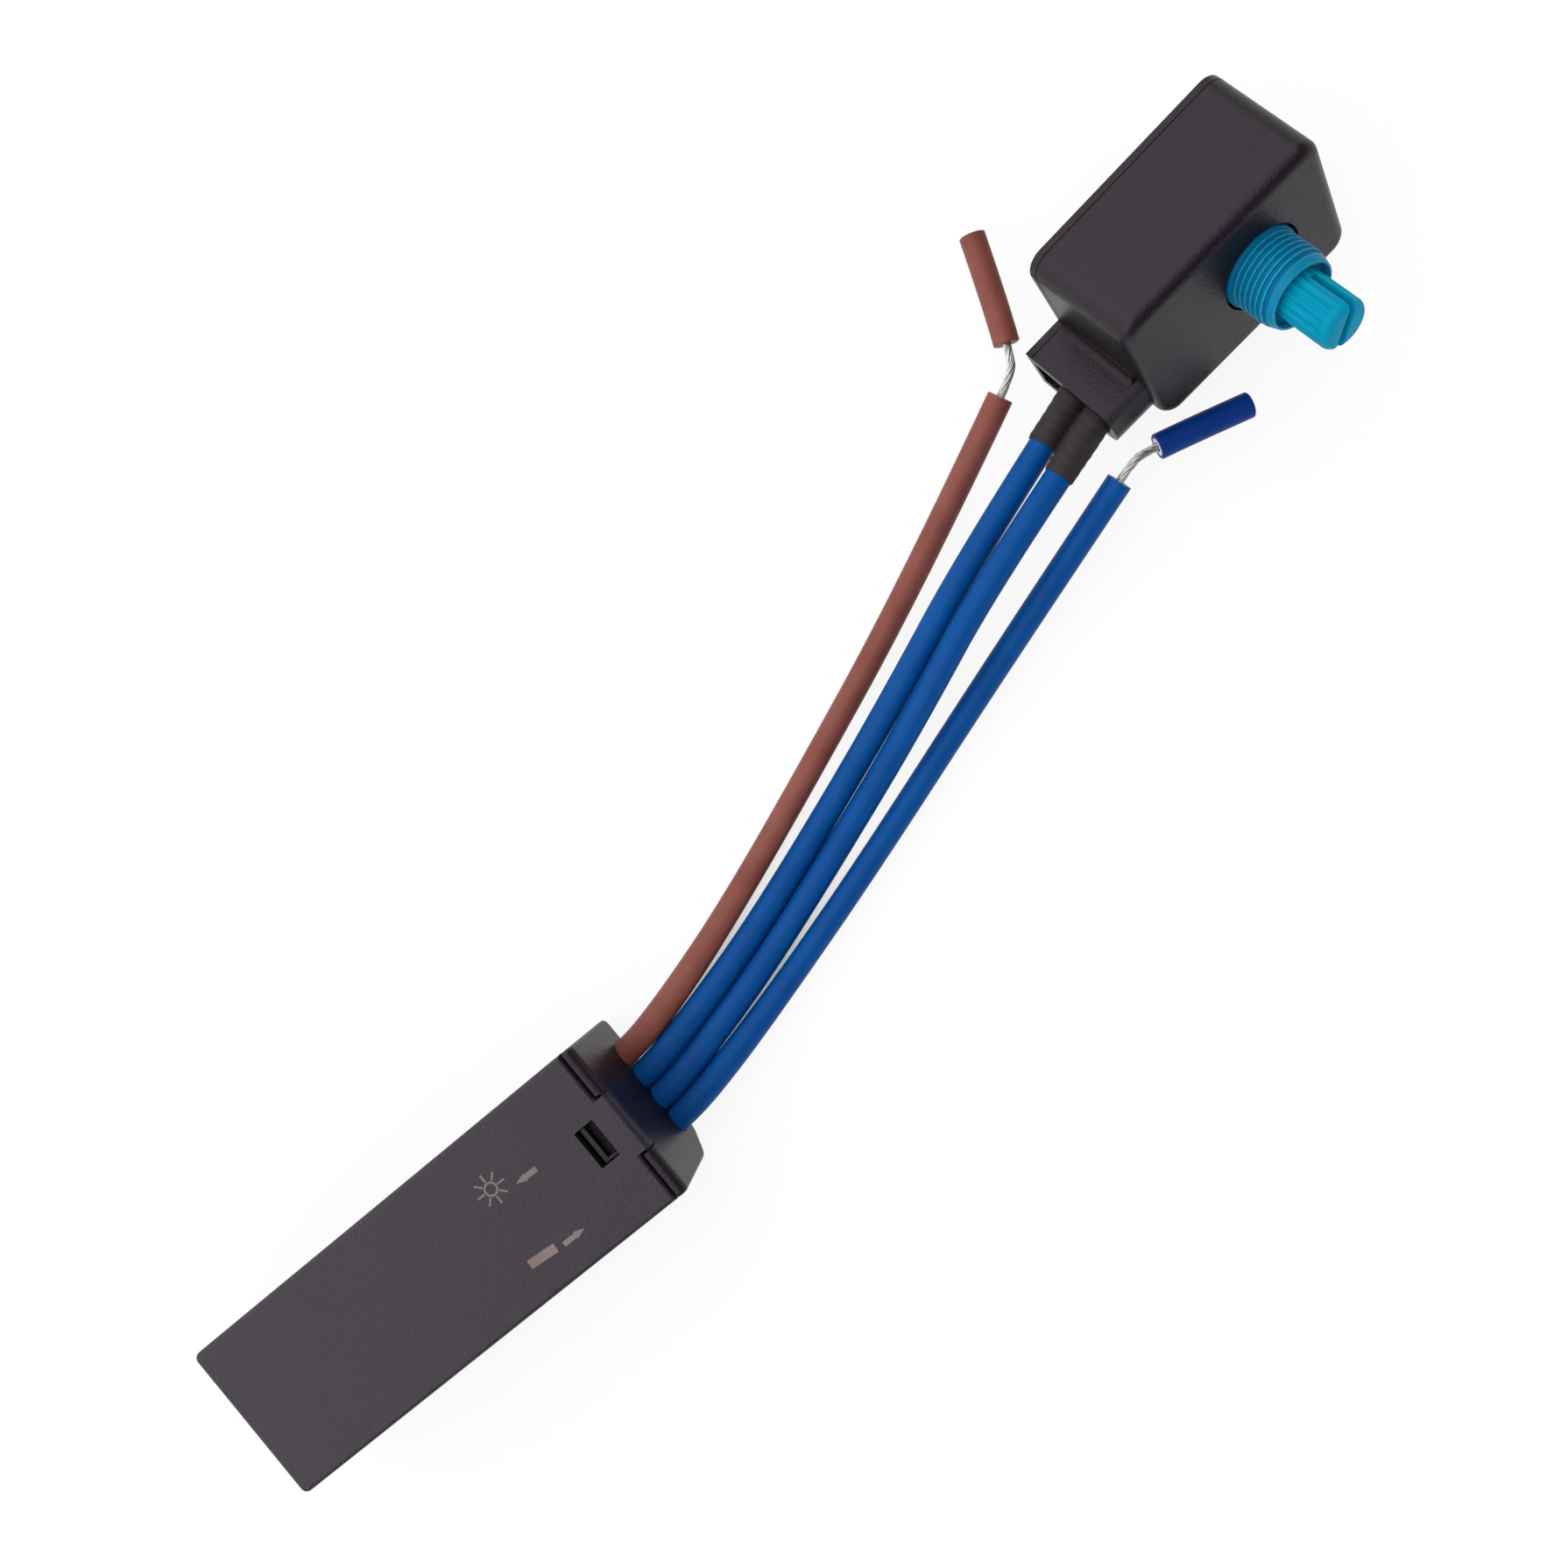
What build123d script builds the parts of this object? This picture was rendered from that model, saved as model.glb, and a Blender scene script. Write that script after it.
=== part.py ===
from build123d import *
import os
from math import cos, radians, sqrt, tan

os.makedirs("parts", exist_ok=True)

# Rotary lamp dimmer: a control box, a potentiometer in its own small housing and four leads.
# Origin at the centre of the control box's underside, X towards its wire end, Z up. Millimetres.

# Control box
box_length = 63.5
box_width = 22.1
box_height = 17.0
box_draft = 0.4
box_wall = 1.4
box_floor = 1.2
box_corner = 0.9
box_tight_corner = 0.5
box_keel = 3.4
keel_rounding = 2.2
box_lower_edge = 1.0
lid_thickness = 1.5
lid_edge = 0.5
lid_rim_wall = 1.0
lid_rim_depth = 1.4
lid_clearance = 0.15
lid_seam = 0.36
tongue_width = 8.9
shoulder_edge = 1.0
tongue_edge = 0.9
window_length = 2.85
window_width = 5.3
window_inset = 5.02
hook_thickness = 1.3
hook_width = 4.95
hook_root = 7.5
hook_gap = 0.55
hook_rim = 0.6
hook_side_rim = 0.35
hook_rim_drop = 0.75
hook_pocket_drop = 1.6
hook_slope_drop = 0.2

# Leads
wire_diameter = 3.1
wire_pitch = 3.55
wire_shift = 0.15
wire_height = 3.5
wire_hole_clearance = 0.1
wire_inside = 3.6
conductor_diameter = 1.0
conductor_clearance = 0.1
tail_length = 3.4

# Circuit board and what it carries
board_thickness = 1.0
board_clearance = 0.4
board_rib_width = 1.0
board_rib_inset = 1.2
solder_gap = 0.1
part_lift = 0.2
triac_width = 10.0
triac_body_length = 9.0
triac_body_height = 3.2
triac_tab_length = 15.2
triac_tab_thickness = 1.3
triac_hole = 3.6
triac_share = 0.677
choke_flange = 11.0
choke_core_diameter = 5.0
choke_height = 10.5
choke_flange_thickness = 1.4
choke_winding_clearance = 0.1
choke_share = 0.397
film_length = 13.0
film_thickness = 6.0
film_height = 10.8
film_share = 0.216
timing_length = 7.0
timing_thickness = 3.4
timing_height = 8.0
timing_share = 0.0986
timing_offset = 4.2
resistor_diameter = 2.3
resistor_length = 6.3
resistor_pitch = 3.2
resistor_offset = -4.0
diac_diameter = 1.9
diac_length = 4.2
diac_offset = -5.0
fuse_diameter = 3.6
fuse_length = 9.0
fuse_cap = 2.0
fuse_cap_wall = 0.15
fuse_share = 0.887
fuse_offset = 2.6

# Potentiometer housing, in its own frame: X to the wire neck, Y along the shaft, Z to its upper side
pot_x = 144.04
pot_y = 37.80
pot_yaw = 185.42
pot_roll = 28.88
pot_far = 14.6
pot_end = 14.0
pot_depth = 15.9
pot_height = 18.65
pot_drop = 0.75
pot_draft = 1.37
pot_wall = 1.2
pot_front = 1.6
pot_corner = 2.35
pot_edge = 1.45
cover_thickness = 1.0
cover_rim_height = 1.2
cover_rim_wall = 0.9
cover_clearance = 0.1
neck_length = 5.3
neck_height = 6.8
neck_depth = 14.6
neck_keel = 3.5
neck_edge = 1.3
neck_web = 1.0

# Potentiometer
shaft_offset = 3.5
shaft_w = 8.6
bushing_diameter = 9.35
bushing_length = 6.15
bushing_lead = 1.75
bushing_lip = 8.25
bushing_ring = 9.7
bushing_ring_length = 1.8
bushing_hole_clearance = 0.35
bushing_recess = 7.7
bushing_recess_depth = 0.9
flange_diameter = 14.4
flange_thickness = 1.4
shaft_diameter = 6.0
shaft_clearance = 0.06
shaft_reach = 12.6
shaft_chamfer = 0.5
shaft_shoulder = 7.8
shaft_shoulder_length = 0.95
shaft_play = 0.15
shaft_tail = 4.0
slot_width = 1.0
slot_depth = 6.0
slot_angle = 54.0
spline_teeth = 18
spline_depth = 0.25
spline_round = 0.45
spline_start = 0.6
spline_plain_tip = 1.1
wafer_thickness = 1.2
wafer_clearance = 0.2
wafer_tongue_reach = 8.5
wafer_tongue_width = 13.0
wafer_bore_clearance = 0.4
can_wall = 0.5
can_depth = 8.6
can_notch_clearance = 0.2
can_stop = 1.0
rotor_diameter = 10.6
rotor_thickness = 2.5
rotor_gap = 1.6
rotor_bore_clearance = 0.05
rotor_lug = 0.9
rotor_lug_width = 1.6
wiper_thickness = 0.3
wiper_finger_width = 1.2
wiper_gap = 0.25
tab_thickness = 0.5
tab_width = 2.0
tab_pitch = 5.0
tab_reach = 12.0
tab_root = 6.6
clamp_outer = 10.0
clamp_inner = 7.0

# Links through the neck, in the housing's frame
link_height = 3.4
link_1_depth = 6.8
link_2_depth = 11.5
link_1_angle = 14.2
link_2_angle = 12.2
link_run = 18.0
link_inside = 6.8
sleeve_wall = 0.25
sleeve_clearance = 0.1
sleeve_inside = 6.0
sleeve_1_reach = 6.4
sleeve_2_reach = 7.8

box_end = box_length / 2
box_side = box_width / 2
keel_line = box_keel - box_side
keel_side = box_draft * (1 - box_keel / box_height) - box_side
keel_wall = box_wall * sqrt(2)
lid_seat = box_height - lid_thickness
board_top = wire_height - conductor_diameter / 2 - solder_gap
board_bottom = board_top - board_thickness
board_left = box_side - box_wall - board_clearance
board_right = keel_line + keel_wall - board_bottom + board_clearance
wire_rows = [wire_shift + i * wire_pitch for i in (1.5, 0.5, -0.5, -1.5)]
wire_start = box_end - box_wall - wire_inside


def save(shape, name):
    export_step(shape, "parts/" + name + ".step")


def block(x0, x1, y0, y1, z0, z1):
    return Pos((x0 + x1) / 2, (y0 + y1) / 2, (z0 + z1) / 2) * Box(x1 - x0, y1 - y0, z1 - z0)


def ring_y(u, w, y0, y1, outer, inner=0.0):
    # Round bar or ring whose axis runs along Y
    body = Pos(u, (y0 + y1) / 2, w) * Rot(90, 0, 0) * Cylinder(outer / 2, y1 - y0)
    if inner > 0:
        body -= Pos(u, (y0 + y1) / 2, w) * Rot(90, 0, 0) * Cylinder(inner / 2, y1 - y0)
    return body


# Bevel along one lower edge of the control box: everything below the line y + z = offset
def keel_cutter(offset):
    depth = box_width / 2 + box_height
    bevel = Plane.YZ * Polyline(
        (offset, 0),
        (offset - depth, depth),
        (offset - depth, -depth),
        (offset, -depth),
        close=True,
    )
    return extrude(make_face(bevel), box_length, both=True)


# Control box base: a tray with a keeled edge, a raised wire end and a springy latch hook
def make_base():
    section = Plane.YZ * Polyline(
        (box_side - box_draft, 0),
        (box_side, box_height),
        (-box_side, box_height),
        (keel_side, box_keel),
        (keel_line, 0),
        close=True,
    )
    section = make_face(section)
    keel_corners = section.vertices().filter_by_position(Axis.Z, -1, box_keel + 0.1).sort_by(Axis.Y)
    section = fillet(keel_corners[0:2], keel_rounding)
    lower_corner = section.vertices().filter_by_position(Axis.Z, -1, 0.1).sort_by(Axis.Y)[-1]
    section = fillet(lower_corner, box_lower_edge)
    tray = extrude(section, box_end, both=True)
    rim_edges = tray.edges().filter_by(Axis.Y).group_by(Axis.Z)[-1].sort_by(Axis.X)
    tray = fillet(rim_edges[-1], shoulder_edge)
    far_outline = tray.edges().group_by(Axis.X)[0].sort_by(Axis.Y)
    tray = fillet([far_outline[0], far_outline[-1]], box_corner)
    wire_outline = tray.edges().group_by(Axis.X)[-1].sort_by(Axis.Y)
    tray = fillet(wire_outline[-1], box_tight_corner)
    end_inner = box_end - box_wall
    room = block(-end_inner, end_inner, -box_side + box_wall, box_side - box_wall, box_floor, box_height)
    tray -= room - keel_cutter(keel_line + keel_wall)
    tray -= block(-box_end, end_inner, -box_side, box_side, lid_seat, box_height)
    tray -= block(end_inner, box_end, -tongue_width / 2, tongue_width / 2, lid_seat, box_height)
    for y in wire_rows:
        hole = Rot(0, 90, 0) * Cylinder(wire_diameter / 2 + wire_hole_clearance, 3 * box_wall)
        tray -= Pos(box_end - box_wall / 2, y, wire_height) * hole
    # Ribs that carry the circuit board
    rib_end = end_inner - wire_inside - board_clearance
    half_rib = board_rib_width / 2
    for y in (board_right + board_rib_inset, board_left - board_rib_inset):
        tray += block(-end_inner, rib_end, y - half_rib, y + half_rib, box_floor, board_bottom)
    # Latch hook carried by the end wall
    hook_x = box_end - window_inset
    arm_x0 = hook_x - hook_thickness / 2
    arm_x1 = hook_x + hook_thickness / 2
    head_bottom = lid_seat - lid_thickness
    arm = Plane.XZ * Polyline(
        (end_inner, hook_root),
        (arm_x0, hook_root),
        (arm_x0, head_bottom),
        (arm_x1, head_bottom),
        (arm_x1, hook_root + hook_thickness),
        (end_inner, hook_root + hook_thickness),
        close=True,
    )
    tray += extrude(make_face(arm), hook_width / 2, both=True)
    # Hook head in the lid's window: a rim on two sides of a pocket that slopes up to the third
    head_x0 = hook_x - window_length / 2 + hook_gap
    head_x1 = hook_x + window_length / 2 - lid_clearance
    head_side = hook_width / 2
    rim_top = box_height - hook_rim_drop
    head = Plane.XZ * Polyline(
        (head_x0, head_bottom),
        (head_x1, head_bottom),
        (head_x1, box_height - hook_slope_drop),
        (head_x0 + hook_rim, box_height - hook_pocket_drop),
        (head_x0 + hook_rim, rim_top),
        (head_x0, rim_top),
        close=True,
    )
    tray += Pos(0, head_side, 0) * extrude(make_face(head), hook_width - hook_side_rim)
    tray += block(head_x0, head_x1, -head_side, hook_side_rim - head_side, head_bottom, rim_top)
    return tray


# Snap lid: plate with a tongue over the wire end, a latch window and a locating rim
def make_lid():
    x1 = box_end - box_wall - lid_seam
    plate = block(-box_end, x1, -box_side, box_side, lid_seat, box_height)
    corners = plate.edges().filter_by(Axis.Z).group_by(Axis.X)[0]
    plate = fillet(corners, box_corner)
    top = plate.edges().group_by(Axis.Z)[-1]
    plate = fillet(top, lid_edge)
    half_tongue = tongue_width / 2 - lid_seam
    plate += block(x1 - lid_edge, box_end, -half_tongue, half_tongue, lid_seat, box_height)
    tongue_end = plate.edges().filter_by(Axis.Y).group_by(Axis.X)[-1].sort_by(Axis.Z)[-1]
    plate = fillet(tongue_end, tongue_edge)
    rx0 = -box_end + box_wall + lid_clearance
    rx1 = x1 - lid_clearance
    ry = box_side - box_wall - lid_clearance
    rim = block(rx0, rx1, -ry, ry, lid_seat - lid_rim_depth, lid_seat)
    rim -= block(
        rx0 + lid_rim_wall, rx1, -ry + lid_rim_wall, ry - lid_rim_wall, lid_seat - lid_rim_depth, lid_seat
    )
    plate += rim
    window = Box(window_length, window_width, lid_thickness)
    return plate - Pos(box_end - window_inset, 0, box_height - lid_thickness / 2) * window


control_box_base = make_base()
control_box_lid = make_lid()

# Circuit board between the far wall and the ends of the leads
board_x0 = -box_end + box_wall + board_clearance
board_x1 = wire_start - board_clearance
circuit_board = block(board_x0, board_x1, board_right, board_left, board_bottom, board_top)


def along_board(share):
    return board_x0 + share * (board_x1 - board_x0)


triac_place = along_board(triac_share)
choke_place = along_board(choke_share)
film_place = along_board(film_share)
timing_place = along_board(timing_share)
fuse_place = along_board(fuse_share)

# Triac lying flat with its cooling tab under the body
triac = block(0, triac_tab_length, -triac_width / 2, triac_width / 2, 0, triac_tab_thickness)
triac_top = triac_tab_thickness + triac_body_height
triac += block(0, triac_body_length, -triac_width / 2, triac_width / 2, triac_tab_thickness, triac_top)
triac_hole_x = (triac_tab_length + triac_body_length) / 2
triac -= Pos(triac_hole_x, 0, triac_tab_thickness / 2) * Cylinder(triac_hole / 2, triac_tab_thickness)
triac = Pos(triac_place - triac_tab_length / 2, 0, board_top) * triac

# Choke: flanged drum core with its winding
choke_top = board_top + choke_height
core_shape = Pos(0, 0, choke_height / 2) * Cylinder(choke_core_diameter / 2, choke_height)
core_shape += Pos(0, 0, choke_flange_thickness / 2) * Cylinder(choke_flange / 2, choke_flange_thickness)
upper_flange = Cylinder(choke_flange / 2, choke_flange_thickness)
core_shape += Pos(0, 0, choke_height - choke_flange_thickness / 2) * upper_flange
choke_core = Pos(choke_place, 0, board_top) * core_shape
winding_height = choke_height - 2 * choke_flange_thickness - 2 * choke_winding_clearance
winding = Cylinder(choke_flange / 2 - 2 * choke_winding_clearance, winding_height)
winding -= Cylinder(choke_core_diameter / 2 + choke_winding_clearance, winding_height)
choke_winding = Pos(choke_place, 0, board_top + choke_height / 2) * winding


def boxed_part(thickness, length, height, x, y):
    body = block(-thickness / 2, thickness / 2, -length / 2, length / 2, 0, height)
    body = fillet(body.edges().filter_by(Axis.Z), min(0.5, thickness / 8))
    return Pos(x, y, board_top) * body


interference_capacitor = boxed_part(film_thickness, film_length, film_height, film_place, 0)
timing_capacitor = boxed_part(timing_thickness, timing_length, timing_height, timing_place, timing_offset)


def axial_part(diameter, length, x, y):
    return Pos(x, y, board_top + part_lift + diameter / 2) * Rot(90, 0, 0) * Cylinder(diameter / 2, length)


# Fuse: glass tube between two end caps on one axis
def make_fuse():
    body = Cylinder(fuse_diameter / 2, fuse_length - fuse_cap)
    for side in (-1, 1):
        cap = Cylinder(fuse_diameter / 2 + fuse_cap_wall, fuse_cap)
        body += Pos(0, 0, side * (fuse_length - fuse_cap) / 2) * cap
    height = board_top + part_lift + fuse_diameter / 2 + fuse_cap_wall
    return Pos(fuse_place, fuse_offset, height) * Rot(90, 0, 0) * body


resistors = Compound(
    children=[
        axial_part(resistor_diameter, resistor_length, timing_place + i * resistor_pitch, resistor_offset)
        for i in (-1, 0)
    ]
)
diac = axial_part(diac_diameter, diac_length, fuse_place, diac_offset)
fuse = make_fuse()

# Stripped ends of the four leads, soldered to the board
wire_tail = Rot(0, 90, 0) * Cylinder(conductor_diameter / 2, tail_length)
board_wire_ends = Compound(
    children=[Pos(wire_start - tail_length / 2, y, wire_height) * wire_tail for y in wire_rows]
)

# Potentiometer housing
pot_lift = pot_drop * cos(radians(pot_roll))
pot_place = Location((pot_x, pot_y, pot_lift), (0, 0, pot_yaw)) * Location((0, 0, 0), (pot_roll, 0, 0))
shaft_u = -shaft_offset
neck_end = pot_end + neck_length
front_inner = pot_depth - pot_front


def make_pot_block():
    # Housing outline, a little narrower at the front than at the cover
    inset = (pot_depth - cover_thickness) * tan(radians(pot_draft))
    plan = Polyline(
        (-pot_far, cover_thickness),
        (pot_end, cover_thickness),
        (pot_end - inset, pot_depth),
        (inset - pot_far, pot_depth),
        close=True,
    )
    body = Pos(0, 0, -pot_drop) * extrude(make_face(plan), pot_height + pot_drop)
    return fillet(body.edges().group_by(Axis.Y)[1], pot_corner)


def make_pot_housing():
    shell = make_pot_block()
    shell = fillet(shell.edges().group_by(Axis.Y)[-1], pot_edge)
    neck = block(pot_end - 2 * pot_wall, neck_end, cover_thickness, neck_depth, 0, neck_height)
    long_edges = neck.edges().filter_by(Axis.X).group_by(Axis.Y)[-1].sort_by(Axis.Z)
    neck = fillet(long_edges[0], neck_keel)
    long_edges = neck.edges().filter_by(Axis.X).group_by(Axis.Z)[-1].sort_by(Axis.Y)
    neck = fillet(long_edges[-1], neck_edge)
    shell += neck
    # Hollow rounding where the neck's top meets the end
    web_front = neck_depth - neck_edge
    web_top = neck_height + neck_web
    web = block(
        pot_end - pot_wall, pot_end + neck_web, cover_thickness, web_front, neck_height - pot_wall, web_top
    )
    web -= ring_y(pot_end + neck_web, neck_height + neck_web, cover_thickness, neck_depth, 2 * neck_web)
    shell += web
    room = block(
        pot_wall - pot_far, pot_end - pot_wall, cover_thickness, front_inner,
        pot_wall - pot_drop, pot_height - pot_wall,
    )
    room = fillet(room.edges().filter_by(Axis.Y), pot_corner / 2)
    throat = block(0, neck_end, cover_thickness, neck_depth - pot_wall, pot_wall, neck_height - pot_wall)
    throat_edges = throat.edges().filter_by(Axis.X).group_by(Axis.Y)[-1].sort_by(Axis.Z)
    throat = fillet(throat_edges[0], neck_keel - pot_wall)
    shell -= room
    shell -= throat
    hole = bushing_ring + 2 * bushing_hole_clearance
    shell -= ring_y(shaft_u, shaft_w, front_inner - pot_wall, pot_depth + pot_wall, hole)
    return shell


def make_pot_cover():
    body = block(-pot_far, pot_end, 0, cover_thickness, -pot_drop, pot_height)
    body = fillet(body.edges().filter_by(Axis.Y), pot_corner)
    body += block(pot_end - 2 * pot_corner, neck_end, 0, cover_thickness, 0, neck_height)
    x0 = pot_wall + cover_clearance - pot_far
    x1 = pot_end - pot_wall - cover_clearance
    z0 = pot_wall + cover_clearance - pot_drop
    z1 = pot_height - pot_wall - cover_clearance
    rim = block(x0, x1, cover_thickness, cover_thickness + cover_rim_height, z0, z1)
    rim = fillet(rim.edges().filter_by(Axis.Y), pot_corner / 2)
    t = cover_rim_wall
    rim -= block(x0 + t, x1 - t, cover_thickness, cover_thickness + cover_rim_height, z0 + t, z1 - t)
    rim -= block(0, neck_end, cover_thickness, pot_depth, 0, neck_height)
    body += rim
    # Round post that presses the potentiometer against the front wall
    body += ring_y(shaft_u, shaft_w, cover_thickness, can_rear, clamp_outer, clamp_inner)
    return body


flange_rear = front_inner - flange_thickness
can_rear = flange_rear - can_depth
wafer_rear = flange_rear - wafer_thickness
pot_housing = pot_place * make_pot_housing()
pot_back_cover = pot_place * make_pot_cover()

# Threaded bushing: flange inside the wall, locating ring in the wall, barrel with a tapered lead
bushing_front = pot_depth + bushing_length
lead_start = bushing_front - bushing_lead
bushing_body = ring_y(shaft_u, shaft_w, front_inner, lead_start, bushing_diameter)
lead = Cone(bushing_lip / 2, bushing_diameter / 2, bushing_lead)
bushing_body += Pos(shaft_u, bushing_front - bushing_lead / 2, shaft_w) * Rot(90, 0, 0) * lead
bushing_body += ring_y(shaft_u, shaft_w, flange_rear, front_inner, flange_diameter)
bushing_body += ring_y(shaft_u, shaft_w, front_inner, front_inner + bushing_ring_length, bushing_ring)
bushing_bore = shaft_diameter + 2 * shaft_clearance
bushing_body -= ring_y(shaft_u, shaft_w, flange_rear, bushing_front, bushing_bore)
bushing_body -= ring_y(shaft_u, shaft_w, bushing_front - bushing_recess_depth, bushing_front, bushing_recess)
threaded_bushing = pot_place * bushing_body

# Control shaft: splined and slotted outside, shoulder behind the bushing, plain tail inside
shaft_tip = pot_depth + shaft_reach
shoulder_front = flange_rear - shaft_play
shoulder_rear = shoulder_front - shaft_shoulder_length
tail_end = can_rear + can_wall + 2 * shaft_play


def make_shaft():
    body = ring_y(shaft_u, shaft_w, shoulder_front, shaft_tip, shaft_diameter)
    tip_edge = body.edges().filter_by(GeomType.CIRCLE).group_by(Axis.Y)[-1]
    body = chamfer(tip_edge, shaft_chamfer)
    body += ring_y(shaft_u, shaft_w, shoulder_rear, shoulder_front, shaft_shoulder)
    body += ring_y(shaft_u, shaft_w, tail_end, shoulder_rear, shaft_tail)
    spline_y0 = bushing_front + spline_start
    spline_y1 = shaft_tip - spline_plain_tip
    radius = shaft_diameter / 2
    cutter = ring_y(0, radius + spline_round - spline_depth, spline_y0, spline_y1, 2 * spline_round)
    for i in range(spline_teeth):
        body -= Pos(shaft_u, 0, shaft_w) * Rot(0, i * 360 / spline_teeth, 0) * cutter
    slot = Pos(0, shaft_tip - slot_depth / 2, 0) * Box(2 * shaft_diameter, slot_depth, slot_width)
    return body - Pos(shaft_u, 0, shaft_w) * Rot(0, slot_angle, 0) * slot


control_shaft = pot_place * make_shaft()

# Rotor on the tail, with a stop lug
rotor_front = wafer_rear - rotor_gap
rotor_rear = rotor_front - rotor_thickness
rotor = ring_y(shaft_u, shaft_w, rotor_rear, rotor_front, rotor_diameter)
rotor += block(
    shaft_u - rotor_diameter / 2 - rotor_lug, shaft_u, rotor_rear, rotor_front,
    shaft_w - rotor_lug_width / 2, shaft_w + rotor_lug_width / 2,
)
rotor -= ring_y(shaft_u, shaft_w, rotor_rear, rotor_front, shaft_tail + 2 * rotor_bore_clearance)
wiper_rotor = pot_place * rotor

# Wiper: spring ring on the rotor with two contact fingers
wiper_outer = rotor_diameter - 4 * wiper_thickness
wiper_inner = shaft_tail + 4 * wiper_thickness
wiper = ring_y(shaft_u, shaft_w, rotor_front, rotor_front + wiper_thickness, wiper_outer, wiper_inner)
finger_tip = wafer_rear - wiper_gap
for side in (-1, 1):
    finger_u = shaft_u + side * (wiper_outer + wiper_inner) / 4
    finger = Box(wiper_finger_width, finger_tip - rotor_front, wiper_finger_width)
    wiper += Pos(finger_u, (rotor_front + finger_tip) / 2, shaft_w) * finger
wiper_contact = pot_place * wiper

# Resistance wafer with a tongue for its solder tabs
can_outer = flange_diameter
can_inner = can_outer - 2 * can_wall
wafer = ring_y(shaft_u, shaft_w, wafer_rear, flange_rear, can_inner - 2 * wafer_clearance)
wafer += block(
    shaft_u, shaft_u + wafer_tongue_reach, wafer_rear, flange_rear,
    shaft_w - wafer_tongue_width / 2, shaft_w + wafer_tongue_width / 2,
)
wafer -= ring_y(shaft_u, shaft_w, wafer_rear, flange_rear, shaft_shoulder + 2 * wafer_bore_clearance)
resistance_wafer = pot_place * wafer

tab_rows = [shaft_w - tab_pitch, shaft_w, shaft_w + tab_pitch]
solder_tabs = Compound(
    children=[
        pot_place
        * block(
            shaft_u + tab_root, shaft_u + tab_reach, wafer_rear - tab_thickness, wafer_rear,
            w - tab_width / 2, w + tab_width / 2,
        )
        for w in tab_rows
    ]
)

# Rear can, notched for the tongue, with a stop for the rotor's lug
can = ring_y(shaft_u, shaft_w, can_rear, flange_rear, can_outer)
can -= ring_y(shaft_u, shaft_w, can_rear + can_wall, flange_rear, can_inner)
can += block(
    shaft_u + can_inner / 2 - can_stop, shaft_u + can_inner / 2 + can_wall / 2, rotor_rear, rotor_front,
    shaft_w - rotor_lug_width / 2, shaft_w + rotor_lug_width / 2,
)
notch = wafer_tongue_width / 2 + can_notch_clearance
can -= block(
    shaft_u, shaft_u + can_outer, wafer_rear - tab_thickness - can_notch_clearance, flange_rear,
    shaft_w - notch, shaft_w + notch,
)
pot_can = pot_place * can


# Leads: straight runs joined by tangent arcs, each arc as large as its two runs allow
def corner_radii(points, name):
    radii = []
    for i in range(1, len(points) - 1):
        a = points[i] - points[i - 1]
        b = points[i + 1] - points[i]
        turn = a.get_angle(b)
        radii.append(0.45 * min(a.length, b.length) / tan(radians(turn / 2)))
    print(name, "radii", [round(r, 1) for r in radii])
    return radii


def cord(points, diameter, name):
    route = [Vector(*p) for p in points]
    if len(route) > 2:
        path = FilletPolyline(*route, radius=corner_radii(route, name))
    else:
        path = Line(route[0], route[1])
    start = Plane(path @ 0, z_dir=path % 0)
    tube = sweep(start * Circle(diameter / 2), path)
    section = Circle(diameter / 2).area
    ratio = tube.volume / (section * path.length)
    print(name, "length", round(path.length, 1), "volume ratio", round(ratio, 4))
    return tube


def to_pot(x, y, z):
    return (pot_place * Pos(x, y, z)).position


def link_points(depth, angle, free_points):
    # Mouth of the neck, the way out of it and the end inside the housing
    turned = Plane.XY.rotated((0, 0, angle)).x_dir
    mouth = Vector(neck_end, depth, link_height)
    outer = mouth + turned * link_run
    inner = mouth - turned * link_inside
    return [*free_points, to_pot(*outer), to_pot(*inner)], mouth, turned


def exit_points(row):
    lead_out = box_end + wire_inside + box_wall
    return [(wire_start, wire_rows[row], wire_height), (lead_out, wire_rows[row], wire_height)]


link_1_route, link_1_mouth, link_1_way = link_points(
    link_1_depth, link_1_angle, exit_points(1) + [(56.75, 7.8, 2.0), (83.75, 17.0, 4.6)]
)
link_2_route, link_2_mouth, link_2_way = link_points(
    link_2_depth, link_2_angle, exit_points(2) + [(57.75, 4.7, 2.0), (84.75, 14.0, 5.0)]
)
brown_route = exit_points(0) + [(57.75, 12.5, 2.2), (89.25, 24.4, 3.0), (119.15, 37.4, 6.8)]
blue_route = exit_points(3) + [(57.75, 0.7, 2.0), (90.75, 10.8, 2.6), (123.25, 20.7, 7.6)]

link_wire_1 = cord(link_1_route, wire_diameter, "link_wire_1")
link_wire_2 = cord(link_2_route, wire_diameter, "link_wire_2")
brown_lead = cord(brown_route, wire_diameter, "brown_lead")
blue_lead = cord(blue_route, wire_diameter, "blue_lead")


# Shrink sleeves over the links where they leave the neck
def sleeve(mouth, way, reach):
    bore = wire_diameter / 2 + sleeve_clearance
    length = sleeve_inside + reach
    middle = mouth + way * (reach - sleeve_inside) / 2
    tube = Cylinder(bore + sleeve_wall, length) - Cylinder(bore, length)
    return pot_place * Plane(middle, z_dir=way).location * tube


link_sleeve_1 = sleeve(link_1_mouth, link_1_way, sleeve_1_reach)
link_sleeve_2 = sleeve(link_2_mouth, link_2_way, sleeve_2_reach)


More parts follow.
